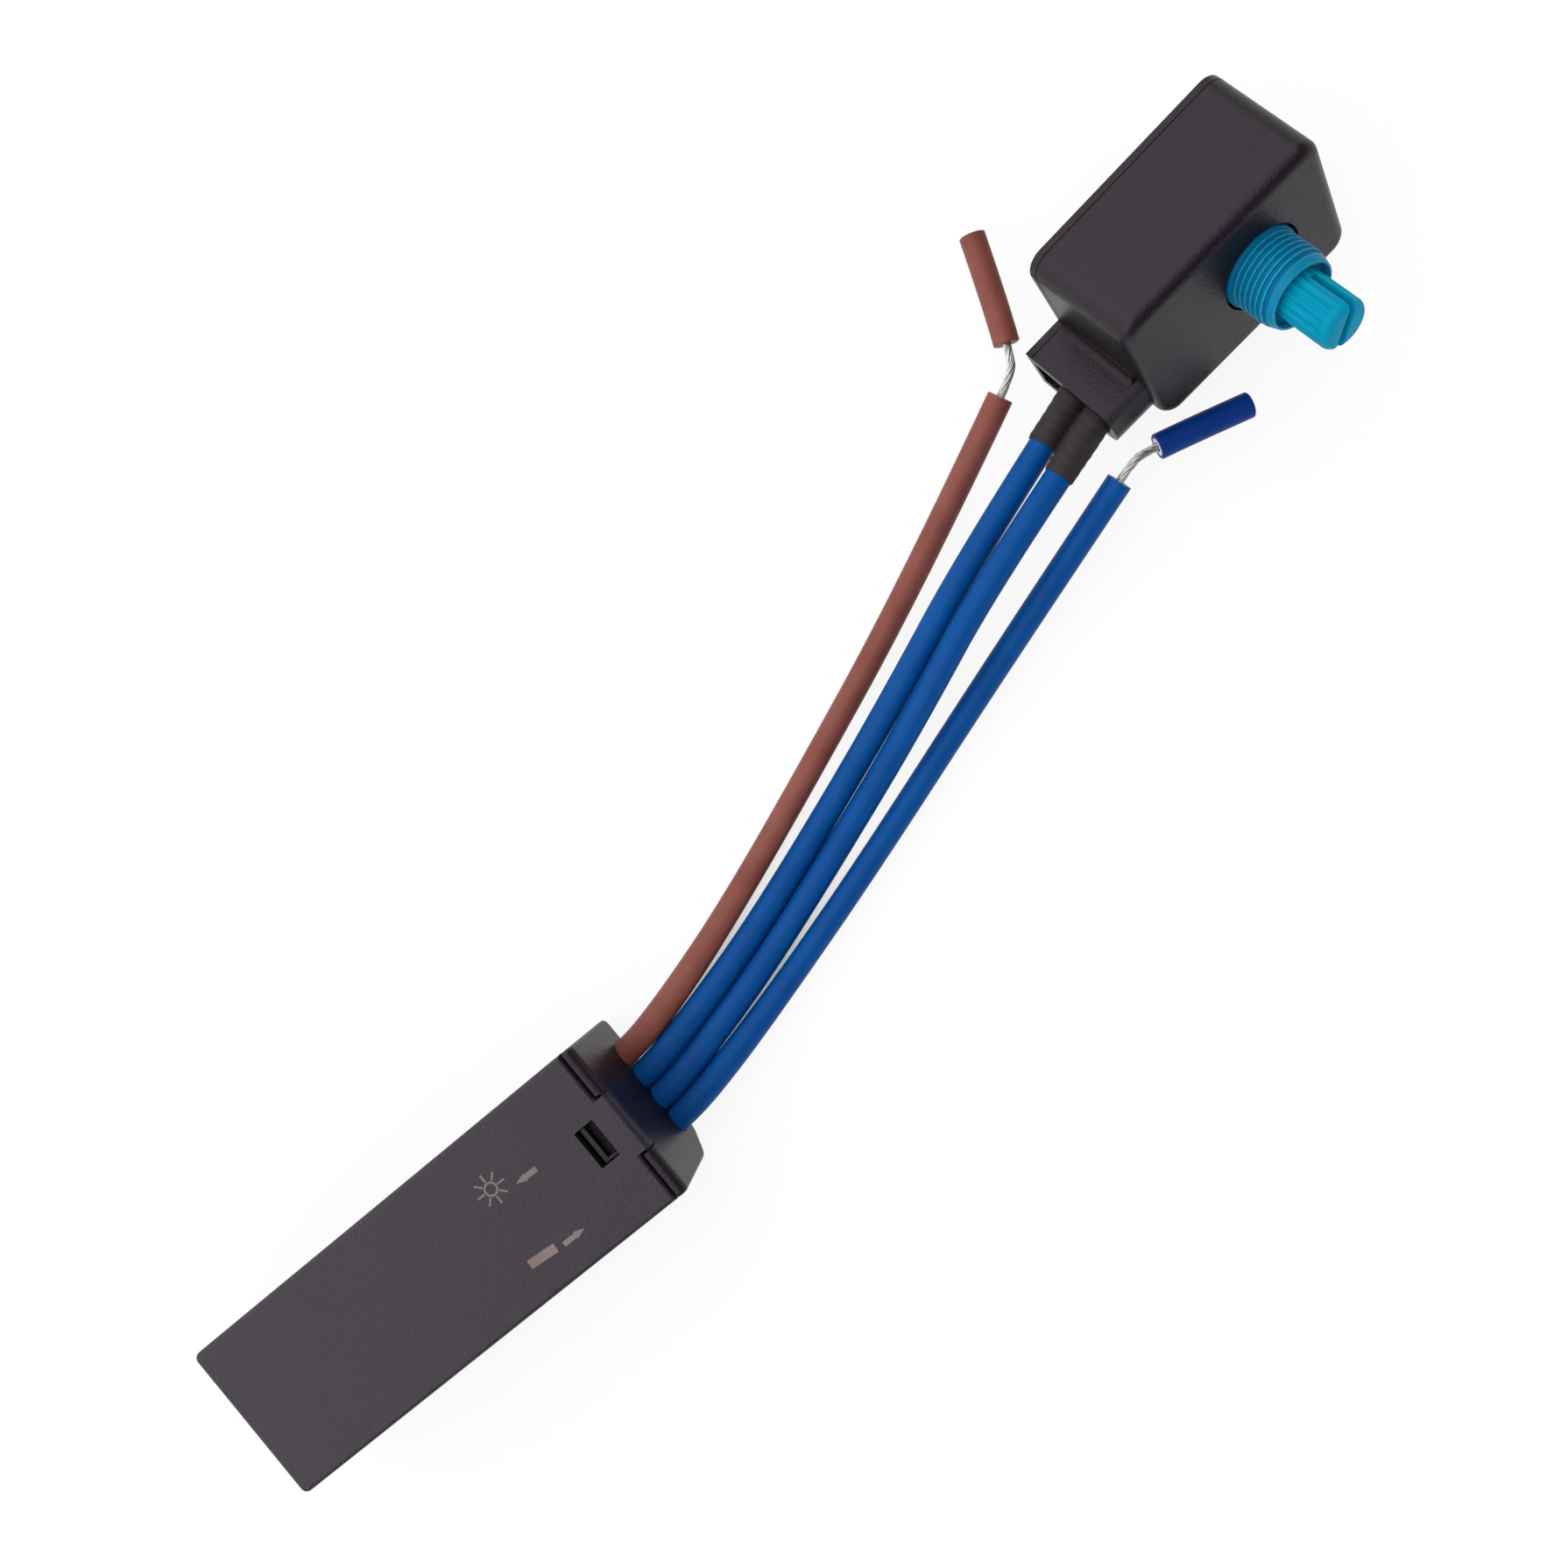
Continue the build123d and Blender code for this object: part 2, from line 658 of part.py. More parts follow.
# Soldered ends of the links inside the housing
def link_tail(mouth, way, row):
    start = mouth - way * (link_inside + conductor_diameter / 2)
    joint_y = wafer_rear - tab_thickness - conductor_diameter / 2 - solder_gap
    end = Vector(shaft_u + tab_reach - tab_width, joint_y, tab_rows[row])
    run = end - start
    tail = Plane(start + run / 2, z_dir=run).location * Cylinder(conductor_diameter / 2, run.length)
    return pot_place * tail


link_tails = [link_tail(link_1_mouth, link_1_way, 1), link_tail(link_2_mouth, link_2_way, 0)]
link_wire_ends = Compound(children=link_tails)


# Bare twisted conductor past each lead's cut end, and the slug of insulation left on it
slug_margin = 1.0
bare_start = 2.4
bare_end = 1.5


def bare_end_pieces(route, near, far, name):
    end = Vector(*route[-1])
    lead_way = (end - Vector(*route[-2])).normalized()
    near = Vector(*near)
    far = Vector(*far)
    slug_way = (far - near).normalized()
    points = [end, end + lead_way * bare_start, near - slug_way * bare_end, far - slug_way * slug_margin]
    conductor = cord(points, conductor_diameter, name)
    length = (far - near).length
    tube = Cylinder(wire_diameter / 2, length)
    tube -= Cylinder(conductor_diameter / 2 + conductor_clearance, length)
    return conductor, Plane((near + far) / 2, z_dir=slug_way).location * tube


brown_conductor, brown_slug = bare_end_pieces(
    brown_route, (123.75, 41.4, 7.1), (128.41, 53.7, 7.1), "brown_conductor"
)
blue_conductor, blue_slug = bare_end_pieces(
    blue_route, (129.0, 21.1, 7.9), (140.15, 17.95, 6.0), "blue_conductor"
)

nodes = {
    "control_box_base": control_box_base,
    "control_box_lid": control_box_lid,
    "circuit_board": circuit_board,
    "triac": triac,
    "choke_core": choke_core,
    "choke_winding": choke_winding,
    "interference_capacitor": interference_capacitor,
    "timing_capacitor": timing_capacitor,
    "resistors": resistors,
    "diac": diac,
    "fuse": fuse,
    "board_wire_ends": board_wire_ends,
    "pot_housing": pot_housing,
    "pot_back_cover": pot_back_cover,
    "threaded_bushing": threaded_bushing,
    "control_shaft": control_shaft,
    "wiper_rotor": wiper_rotor,
    "wiper_contact": wiper_contact,
    "resistance_wafer": resistance_wafer,
    "solder_tabs": solder_tabs,
    "pot_can": pot_can,
    "link_wire_ends": link_wire_ends,
    "link_sleeve_1": link_sleeve_1,
    "link_sleeve_2": link_sleeve_2,
    "link_wire_1": link_wire_1,
    "link_wire_2": link_wire_2,
    "brown_lead": brown_lead,
    "blue_lead": blue_lead,
    "brown_conductor": brown_conductor,
    "blue_conductor": blue_conductor,
    "brown_slug": brown_slug,
    "blue_slug": blue_slug,
}
for name, shape in nodes.items():
    save(shape, name)
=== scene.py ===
import math

import bpy
from mathutils import Matrix, Vector


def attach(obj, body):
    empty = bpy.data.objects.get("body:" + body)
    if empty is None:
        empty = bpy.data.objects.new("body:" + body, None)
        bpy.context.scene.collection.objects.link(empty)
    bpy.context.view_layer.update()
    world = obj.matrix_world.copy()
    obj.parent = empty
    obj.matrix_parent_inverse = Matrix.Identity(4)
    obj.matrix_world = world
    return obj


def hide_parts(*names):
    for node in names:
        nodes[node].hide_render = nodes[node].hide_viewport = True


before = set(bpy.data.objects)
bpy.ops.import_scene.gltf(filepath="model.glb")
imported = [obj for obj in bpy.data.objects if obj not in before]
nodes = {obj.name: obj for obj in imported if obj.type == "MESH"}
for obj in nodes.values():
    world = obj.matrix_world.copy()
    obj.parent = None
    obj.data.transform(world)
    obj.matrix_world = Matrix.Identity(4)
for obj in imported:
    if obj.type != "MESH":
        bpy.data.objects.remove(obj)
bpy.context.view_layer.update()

MM = 0.001
MODULE = "module"
SHAFT = "shaft"

# The potentiometer block leans on the floor: its own axes are u along its length, v out along the shaft, w up.
POT_TURN = math.radians(185.42)
POT_LEAN = math.radians(28.88)
POT_FAR, POT_END = -14.6, 14.0
POT_DROP, POT_HEIGHT = 0.75, 18.65
POT_CORNER = 2.35
POT_PLACE = (144.04, 37.80, POT_DROP * math.cos(POT_LEAN))
NECK_END, NECK_HEIGHT = 19.3, 6.8
SHAFT_U = -3.5
SHAFT_W = 8.6

to_pot = (
    Matrix.Translation(Vector(POT_PLACE))
    @ Matrix.Rotation(POT_TURN, 4, "Z")
    @ Matrix.Rotation(POT_LEAN, 4, "X")
)


# Materials

class Finish:
    """A node material: one Principled shader whose colour, roughness and relief come from object-space textures."""

    def __init__(self, name, metallic=0.0, specular=0.5, coat=0.0, coat_roughness=0.2):
        self.material = bpy.data.materials.new(name)
        self.material.use_nodes = True
        self.tree = self.material.node_tree
        self.shader = self.tree.nodes["Principled BSDF"]
        self.shader.inputs["Metallic"].default_value = metallic
        self.shader.inputs["Specular IOR Level"].default_value = specular
        self.shader.inputs["Coat Weight"].default_value = coat
        self.shader.inputs["Coat Roughness"].default_value = coat_roughness
        self.place = self.add("ShaderNodeTexCoord").outputs["Object"]

    def add(self, kind):
        return self.tree.nodes.new(kind)

    def join(self, source, target):
        self.tree.links.new(source, target)

    def stretched(self, x, y, z):
        """The object coordinates scaled along each axis."""
        node = self.add("ShaderNodeMapping")
        self.join(self.place, node.inputs["Vector"])
        node.inputs["Scale"].default_value = (x, y, z)
        return node.outputs["Vector"]

    def noise(self, size_mm, detail=3.0, roughness=0.5, source=None):
        """Noise whose features are about size_mm across, from 0 to 1."""
        node = self.add("ShaderNodeTexNoise")
        self.join(source or self.place, node.inputs["Vector"])
        node.inputs["Scale"].default_value = 1.0 / (size_mm * MM)
        node.inputs["Detail"].default_value = detail
        node.inputs["Roughness"].default_value = roughness
        return node.outputs["Fac"]

    def cells(self, size_mm):
        """The distance to the nearest of points strewn about size_mm apart."""
        node = self.add("ShaderNodeTexVoronoi")
        self.join(self.place, node.inputs["Vector"])
        node.inputs["Scale"].default_value = 1.0 / (size_mm * MM)
        return node.outputs["Distance"]

    def ramp(self, source, *stops):
        """Colours (or greys) set out along a 0 to 1 source."""
        node = self.add("ShaderNodeValToRGB")
        points = node.color_ramp.elements
        while len(points) < len(stops):
            points.new(0.5)
        for point, (place, colour) in zip(points, stops):
            point.position = place
            point.color = (colour,) * 3 + (1,) if isinstance(colour, float) else (*colour, 1)
        self.join(source, node.inputs["Fac"])
        return node.outputs["Color"]

    def mix(self, share, low, high):
        node = self.add("ShaderNodeMix")
        node.data_type = "RGBA"
        self.join(share, node.inputs["Factor"])
        for socket, value in (("A", low), ("B", high)):
            target = [s for s in node.inputs if s.name == socket and s.type == "RGBA"][0]
            if isinstance(value, tuple):
                target.default_value = (*value, 1)
            else:
                self.join(value, target)
        return [s for s in node.outputs if s.type == "RGBA"][0]

    def colour(self, source):
        self.join(source, self.shader.inputs["Base Color"])

    def roughness(self, source, low, high):
        node = self.add("ShaderNodeMapRange")
        self.join(source, node.inputs["Value"])
        node.inputs["To Min"].default_value = low
        node.inputs["To Max"].default_value = high
        self.join(node.outputs["Result"], self.shader.inputs["Roughness"])

    def relief(self, *layers):
        """Bump layers as (source, depth in mm, strength)."""
        normal = None
        for source, depth, strength in layers:
            node = self.add("ShaderNodeBump")
            node.inputs["Strength"].default_value = strength
            node.inputs["Distance"].default_value = depth * MM
            self.join(source, node.inputs["Height"])
            if normal:
                self.join(normal, node.inputs["Normal"])
            normal = node.outputs["Normal"]
        self.join(normal, self.shader.inputs["Normal"])

    def white_backdrop(self, share, gap_mm, closed, opened):
        """Seen directly or in a reflection, open floor is mostly plain white; shadow and tight gaps stay.

        A place counts as a gap by how open it is within gap_mm: not white at closed, white from opened on.
        """
        path = self.add("ShaderNodeLightPath")
        seen = path.outputs["Is Camera Ray"]
        for ray in ("Is Glossy Ray", "Is Transmission Ray"):
            seen = self.combine("MAXIMUM", seen, path.outputs[ray])
        closed_in = self.add("ShaderNodeAmbientOcclusion")
        closed_in.inputs["Distance"].default_value = gap_mm * MM
        open_floor = self.ramp(closed_in.outputs["AO"], (closed, 0.0), (opened, share))
        white = self.add("ShaderNodeEmission")
        both = self.add("ShaderNodeMixShader")
        self.join(self.combine("MULTIPLY", seen, open_floor), both.inputs["Fac"])
        self.join(self.shader.outputs["BSDF"], both.inputs[1])
        self.join(white.outputs["Emission"], both.inputs[2])
        self.join(both.outputs["Shader"], self.tree.nodes["Material Output"].inputs["Surface"])

    def combine(self, operation, first, second):
        node = self.add("ShaderNodeMath")
        node.operation = operation
        self.join(first, node.inputs[0])
        self.join(second, node.inputs[1])
        return node.outputs[0]


def srgb(red, green, blue):
    """A colour as its screen values from 0 to 255, made linear."""
    def line(value):
        part = value / 255
        return part / 12.92 if part <= 0.04045 else ((part + 0.055) / 1.055) ** 2.4
    return line(red), line(green), line(blue)


def scaled(colour, share):
    return tuple(part * share for part in colour)


NEUTRAL = (1.0, 1.0, 1.0)


def moulded(
    name, tone, rough=(0.42, 0.58), grain=0.16, depth=0.012, dust=0.0, spread=0.12, specular=0.5, gloss=NEUTRAL
):
    """Satin moulded plastic: fine spark-eroded grain, faint cloudy tone and a little dust."""
    finish = Finish(name, specular=specular)
    finish.shader.inputs["Specular Tint"].default_value = (*gloss, 1)
    cloud = finish.noise(9.0, detail=2.0)
    fine = finish.noise(grain, detail=2.0, roughness=0.6)
    body = finish.ramp(cloud, (0.25, scaled(tone, 1 - spread)), (0.75, scaled(tone, 1 + spread)))
    speck = finish.mix(finish.ramp(fine, (0.35, 0.0), (0.7, 0.35)), body, scaled(tone, 1.25))
    if dust:
        spots = finish.ramp(finish.cells(2.6), (0.018, 1.0), (0.03, 0.0))
        rare = finish.ramp(finish.noise(4.0, detail=0.0), (0.6, 0.0), (0.64, dust))
        speck = finish.mix(finish.combine("MULTIPLY", spots, rare), speck, srgb(150, 146, 146))
    finish.colour(speck)
    finish.roughness(finish.noise(1.4, detail=4.0), *rough)
    finish.relief((finish.noise(3.5, detail=1.0), 0.02, 0.25), (fine, depth, 0.5))
    return finish.material


def insulation(name, tone, side, specular=0.25):
    """Extruded PVC: faintly cloudy colour, a soft unevenness and small scuffs."""
    finish = Finish(name, specular=specular)
    cloud = finish.noise(5.0, detail=3.0)
    body = finish.ramp(cloud, (0.3, side), (0.7, tone))
    finish.colour(body)
    finish.roughness(finish.noise(0.9, detail=3.0), 0.36, 0.52)
    finish.relief((finish.noise(2.2, detail=1.0), 0.05, 0.3), (finish.noise(0.25, detail=2.0), 0.006, 0.35))
    return finish.material


def metal(name, tone, rough, scratch_mm=0.4, stretch=(1.0, 1.0, 1.0)):
    """Drawn or plated metal with short scratches and dull patches."""
    finish = Finish(name, metallic=1.0)
    along = finish.stretched(*stretch)
    cloud = finish.noise(1.6, detail=3.0)
    finish.colour(finish.ramp(cloud, (0.3, scaled(tone, 0.78)), (0.72, tone)))
    finish.roughness(finish.noise(scratch_mm, detail=4.0, source=along), *rough)
    finish.relief((finish.noise(scratch_mm, detail=3.0, source=along), 0.006, 0.4))
    return finish.material


def laminate(name, tone, weave):
    """Paper and resin board: a fine woven speckle under a thin clear skin."""
    finish = Finish(name, coat=0.2, coat_roughness=0.25)
    fibre = finish.noise(0.5, detail=4.0, source=finish.stretched(1.0, 3.0, 1.0))
    finish.colour(finish.ramp(fibre, (0.3, weave), (0.7, tone)))
    finish.roughness(finish.noise(0.8), 0.4, 0.6)
    finish.relief((fibre, 0.01, 0.4))
    return finish.material


def wound(name, tone, gap, scale):
    """Enamelled wire laid side by side."""
    finish = Finish(name, metallic=0.7, coat=0.4, coat_roughness=0.15)
    turns = finish.add("ShaderNodeTexWave")
    finish.join(finish.place, turns.inputs["Vector"])
    turns.bands_direction = "X"
    turns.inputs["Scale"].default_value = scale
    turns.inputs["Distortion"].default_value = 0.6
    finish.colour(finish.ramp(turns.outputs["Fac"], (0.1, gap), (0.6, tone)))
    finish.roughness(finish.noise(0.6), 0.25, 0.45)
    finish.relief((turns.outputs["Fac"], 0.12, 0.8))
    return finish.material


def banded(name, tone, ring, scale):
    """A lacquered component body with coloured rings round it."""
    finish = Finish(name, coat=0.3, coat_roughness=0.2)
    rings = finish.add("ShaderNodeTexWave")
    finish.join(finish.place, rings.inputs["Vector"])
    rings.bands_direction = "X"
    rings.inputs["Scale"].default_value = scale
    finish.colour(finish.ramp(rings.outputs["Fac"], (0.72, tone), (0.8, ring)))
    finish.roughness(finish.noise(0.5), 0.3, 0.5)
    finish.relief((finish.noise(0.4), 0.01, 0.4))
    return finish.material


def glassy(name, tone):
    """Tinted glass with a faint flow line."""
    finish = Finish(name, coat=0.5, coat_roughness=0.05)
    finish.shader.inputs["Transmission Weight"].default_value = 0.75
    cloud = finish.noise(1.2)
    finish.colour(finish.ramp(cloud, (0.3, scaled(tone, 0.8)), (0.7, tone)))
    finish.roughness(cloud, 0.05, 0.15)
    finish.relief((cloud, 0.01, 0.2))
    return finish.material


# The black mouldings' gloss has a faint plum tint
PLUM = (1.0, 0.89, 1.0)
BLACK = srgb(21, 17, 22)
black_plastic = moulded(
    "black_plastic", BLACK, rough=(0.32, 0.42), grain=0.28, depth=0.13, dust=0.5, specular=0.33, gloss=PLUM
)
# Duller steps of the black plastic for the pot's crease, less glossy and rougher as the face turns from up: painted
# shade
CREASE_SHADE_STEPS = [(0.3, (0.42, 0.5)), (0.22, (0.5, 0.6)), (0.14, (0.6, 0.7))]
crease_shade_finishes = [
    moulded("crease_plastic_%d" % i, BLACK, rough=rough, grain=0.28, depth=0.1, specular=level, gloss=PLUM)
    for i, (level, rough) in enumerate(CREASE_SHADE_STEPS)
]
worn_plastic = moulded(
    "worn_plastic", srgb(26, 22, 27), rough=(0.6, 0.7), grain=0.28, depth=0.1, specular=0.5, gloss=PLUM
)
seam_shadow = moulded("seam_shadow", srgb(12, 10, 12), rough=(0.7, 0.8), specular=0.1)
lid_plastic = moulded(
    "lid_plastic", srgb(36, 33, 38), rough=(0.34, 0.44), grain=0.28, depth=0.13, dust=0.8, specular=0.39, gloss=PLUM
)
teal_plastic = moulded(
    "teal_plastic", srgb(0, 97, 135), rough=(0.38, 0.5), grain=0.12, depth=0.004, specular=0.05
)
# Paler copies of the bushing's teal: painted highlight on the thread crests and rim, weaker on the plain band before
# the rim
teal_band_highlight = moulded("teal_band_highlight", srgb(2, 117, 153), rough=(0.38, 0.5), grain=0.12, depth=0.004, specular=0.1)
teal_crest_highlight = moulded(
    "teal_crest_highlight", srgb(30, 132, 167), rough=(0.38, 0.5), grain=0.12, depth=0.004, specular=0.12
)
cyan_plastic = moulded(
    "cyan_plastic", srgb(0, 134, 166), rough=(0.36, 0.48), grain=0.12, depth=0.004, spread=0.06, specular=0.05
)
blue_insulation = insulation("blue_insulation", srgb(0, 73, 141), srgb(0, 66, 132), 0.1)
brown_insulation = insulation("brown_insulation", srgb(130, 76, 67), srgb(118, 63, 54), 0.16)
blue_slug_skin = insulation("blue_slug_skin", srgb(0, 48, 120), srgb(0, 42, 112), 0.12)
pale_core = moulded("pale_core", srgb(210, 214, 220), rough=(0.5, 0.7), grain=0.2)
sleeve_skin = moulded("sleeve_skin", srgb(36, 30, 31), rough=(0.6, 0.8), grain=0.3, depth=0.03, dust=0.5, specular=0.4)
print_grey = moulded("print_grey", srgb(118, 104, 100), rough=(0.6, 0.75), grain=0.1, depth=0.004, spread=0.2)
strand_metal = metal("strand_metal", srgb(214, 212, 208), (0.22, 0.45), 0.15)
tinned_wire = metal("tinned_wire", srgb(200, 200, 196), (0.25, 0.45), 0.2)
can_metal = metal("can_metal", srgb(196, 198, 196), (0.3, 0.5), 0.5, (1.0, 4.0, 1.0))
spring_brass = metal("spring_brass", srgb(214, 176, 92), (0.22, 0.4), 0.3, (1.0, 5.0, 1.0))
board_laminate = laminate("board_laminate", srgb(168, 116, 58), srgb(134, 86, 40))
wafer_laminate = laminate("wafer_laminate", srgb(92, 56, 32), srgb(62, 36, 22))
ferrite = moulded("ferrite", srgb(48, 46, 46), rough=(0.5, 0.75), grain=0.3, depth=0.03)
dark_moulding = moulded("dark_moulding", srgb(30, 30, 32), rough=(0.4, 0.6))
capacitor_case = moulded("capacitor_case", srgb(178, 150, 52), rough=(0.3, 0.45), grain=0.3)
rotor_plastic = moulded("rotor_plastic", srgb(206, 204, 196), rough=(0.35, 0.5), grain=0.2)
copper_winding = wound("copper_winding", srgb(196, 102, 48), srgb(88, 36, 16), 320.0)
resistor_body = banded("resistor_body", srgb(196, 164, 118), srgb(120, 58, 30), 140.0)
diac_glass = glassy("diac_glass", srgb(70, 92, 150))
fuse_glass = glassy("fuse_glass", srgb(226, 234, 232))

NODE_FINISHES = {
    "control_box_base": black_plastic,
    "control_box_lid": lid_plastic,
    "circuit_board": board_laminate,
    "triac": dark_moulding,
    "choke_core": ferrite,
    "choke_winding": copper_winding,
    "interference_capacitor": capacitor_case,
    "timing_capacitor": capacitor_case,
    "resistors": resistor_body,
    "diac": diac_glass,
    "fuse": fuse_glass,
    "board_wire_ends": tinned_wire,
    "pot_housing": black_plastic,
    "pot_back_cover": black_plastic,
    "wiper_rotor": rotor_plastic,
    "wiper_contact": spring_brass,
    "resistance_wafer": wafer_laminate,
    "solder_tabs": tinned_wire,
    "pot_can": can_metal,
    "link_wire_ends": tinned_wire,
}
SMOOTH_BELOW = math.radians(32)


def smooth(mesh, angle=SMOOTH_BELOW):
    mesh.shade_smooth()
    mesh.set_sharp_from_angle(angle=angle)


def dress(obj, *materials):
    obj.data.materials.clear()
    for material in materials:
        obj.data.materials.append(material)


for name, finish in NODE_FINISHES.items():
    dress(nodes[name], finish)
    smooth(nodes[name].data)

# On the pot's housing the hollow rounding between the neck's top and the end is duller, in steps, as painted shade
# in the crease, and the neck's front edge is worn
WEB_SIZE, WEB_FRONT, WEB_SLACK = 1.0, 13.5, 0.1
FLAT = 0.995
housing = nodes["pot_housing"]
for finish in crease_shade_finishes + [worn_plastic]:
    housing.data.materials.append(finish)
from_pot = to_pot.inverted()
for polygon in housing.data.polygons:
    u, v, w = from_pot @ (housing.matrix_world @ polygon.center / MM)
    facing = from_pot.to_3x3() @ housing.matrix_world.to_3x3() @ polygon.normal
    by_end = -WEB_SLACK < u - POT_END < WEB_SIZE + WEB_SLACK
    by_top = -WEB_SLACK < w - NECK_HEIGHT < WEB_SIZE + WEB_SLACK
    if by_end and by_top and v < WEB_FRONT and max(facing.x, facing.z) < FLAT:
        polygon.material_index = 1 + min(int(len(crease_shade_finishes) * (1 - facing.z)), len(crease_shade_finishes) - 1)
    elif u > POT_END and facing.y > 0.1 and facing.z > 0.1:
        polygon.material_index = 1 + len(crease_shade_finishes)


# Shape helpers

def add_object(name, data):
    obj = bpy.data.objects.new(name, data)
    bpy.context.scene.collection.objects.link(obj)
    return obj


def mesh_object(name, points, faces, *materials, angle=SMOOTH_BELOW, face_materials=None):
    mesh = bpy.data.meshes.new(name)
    mesh.from_pydata([tuple(p) for p in points], [], faces)
    mesh.validate()
    obj = add_object(name, mesh)
    dress(obj, *materials)
    if face_materials:
        mesh.polygons.foreach_set("material_index", face_materials)
    smooth(mesh, angle)
    return obj


def ring_faces(rows, sides, close_rows=False):
    """Quads between rings of equal point counts that follow one another."""
    faces = []
    last = rows if close_rows else rows - 1
    for i in range(last):
        a, b = i * sides, ((i + 1) % rows) * sides
        for j in range(sides):
            k = (j + 1) % sides
            faces.append((a + j, a + k, b + k, b + j))
    return faces


class Line:
    """A line through points, with a frame that doesn't twist, read by distance along it."""

    def __init__(self, points):
        self.points = points
        self.reach = [0.0]
        for a, b in zip(points, points[1:]):
            self.reach.append(self.reach[-1] + (b - a).length)
        self.length = self.reach[-1]
        way = (points[1] - points[0]).normalized()
        across = way.orthogonal().normalized()
        self.ways, self.sides = [], []
        for i, point in enumerate(points):
            low, high = max(i - 1, 0), min(i + 1, len(points) - 1)
            way = (points[high] - points[low]).normalized()
            across = (across - way * across.dot(way)).normalized()
            self.ways.append(way)
            self.sides.append(across)

    def at(self, distance):
        """The point, the way on and two cross directions; past the ends the line runs straight on."""
        i = 0
        while i < len(self.points) - 2 and self.reach[i + 1] < distance:
            i += 1
        span = self.reach[i + 1] - self.reach[i]
        share = (distance - self.reach[i]) / span
        point = self.points[i].lerp(self.points[i + 1], share)
        inside = min(max(share, 0.0), 1.0)
        way = self.ways[i].lerp(self.ways[i + 1], inside).normalized()
        across = self.sides[i].lerp(self.sides[i + 1], inside)
        across = (across - way * across.dot(way)).normalized()
        return point, way, across, way.cross(across)

    def ring(self, distance, radius, sides):
        """A ring round the line; radius is a number or a function of the angle."""
        point, _, a, b = self.at(distance)
        found = []
        for j in range(sides):
            turn = 2 * math.pi * j / sides
            r = radius(turn) if callable(radius) else radius
            found.append(point + (a * math.cos(turn) + b * math.sin(turn)) * r)
        return found


def route_curve(name, points, swell=()):
    """A wire's route as one smooth NURBS spline, its control points given in millimetres."""
    data = bpy.data.curves.new(name, "CURVE")
    data.dimensions = "3D"
    spline = data.splines.new("NURBS")
    spline.points.add(len(points) - 1)
    for point, place in zip(spline.points, points):
        point.co = (*(Vector(place) * MM), 1.0)
    for point, share in zip(spline.points, swell):
        point.radius = share
    spline.order_u = 3
    spline.use_endpoint_u = True
    spline.resolution_u = 40
    return add_object(name, data)


def line_of(curve):
    """The line of a curve that has no bevel."""
    mesh = bpy.data.meshes.new_from_object(curve)
    points = [vertex.co.copy() for vertex in mesh.vertices]
    bpy.data.meshes.remove(mesh)
    return Line(points)


# Wires

LINK_RADIUS = 1.65
LEAD_RADIUS = 1.57
# Near the box the wires are a little fuller, and touch
LINK_SWELL = (1.04, 1.08, 1.08, 1.02)
LEAD_SWELL = (1.07, 1.12, 1.14, 1.02)
HOLE_Z = 3.5
LINK_INSIDE = 6.8


def end_in_pot(depth, angle):
    """Where a link ends, straight in from its place in the mouth of the pot's neck."""
    way = Vector((math.cos(math.radians(angle)), math.sin(math.radians(angle)), 0))
    return to_pot @ (Vector((NECK_END, depth, NECK_HEIGHT / 2)) - way * LINK_INSIDE)


ROUTES = {
    "link_wire_1": [
        (26.75, 1.925, HOLE_Z), (32.6, 1.83, HOLE_Z), (41.0, 3.56, 2.6), (53.0, 6.65, 1.75), (68.0, 11.56, 1.7),
        (86.0, 17.9, 4.3), (106.34, 25.77, 9.29), end_in_pot(6.8, 14.2),
    ],
    "link_wire_2": [
        (26.75, -1.625, HOLE_Z), (32.6, -1.67, HOLE_Z), (41.0, 0.05, 2.6), (53.0, 3.15, 1.75), (68.0, 8.04, 1.7),
        (86.0, 14.33, 4.5), (106.49, 22.47, 11.08), end_in_pot(11.2, 12.2),
    ],
    "brown_lead": [
        (26.75, 5.475, HOLE_Z), (32.6, 5.42, HOLE_Z), (41.0, 7.2, 2.6), (53.0, 10.86, 1.75), (70.0, 16.99, 1.7),
        (97.0, 27.37, 2.6), (119.15, 37.3, 6.8),
    ],
    "blue_lead": [
        (26.75, -5.175, HOLE_Z), (32.6, -5.14, HOLE_Z), (41.0, -3.59, 2.6), (53.0, -0.64, 1.75), (71.0, 4.48, 1.7),
        (99.0, 13.39, 2.6), (123.25, 20.75, 7.6),
    ],
}
WIRE_FINISH = {
    "link_wire_1": blue_insulation,
    "link_wire_2": blue_insulation,
    "brown_lead": brown_insulation,
    "blue_lead": blue_insulation,
}
wires, lines = {}, {}
for name, route in ROUTES.items():
    link = name.startswith("link")
    wire = route_curve("wire_" + name, route, LINK_SWELL if link else LEAD_SWELL)
    lines[name] = line_of(wire)
    radius = LINK_RADIUS if link else LEAD_RADIUS
    wire.data.bevel_depth = radius * MM
    wire.data.bevel_resolution = 10
    wire.data.use_fill_caps = True
    wire.data.materials.append(WIRE_FINISH[name])
    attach(wire, MODULE)
    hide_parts(name)
    wires[name] = wire


# Shrink sleeves where the links go into the pot's neck

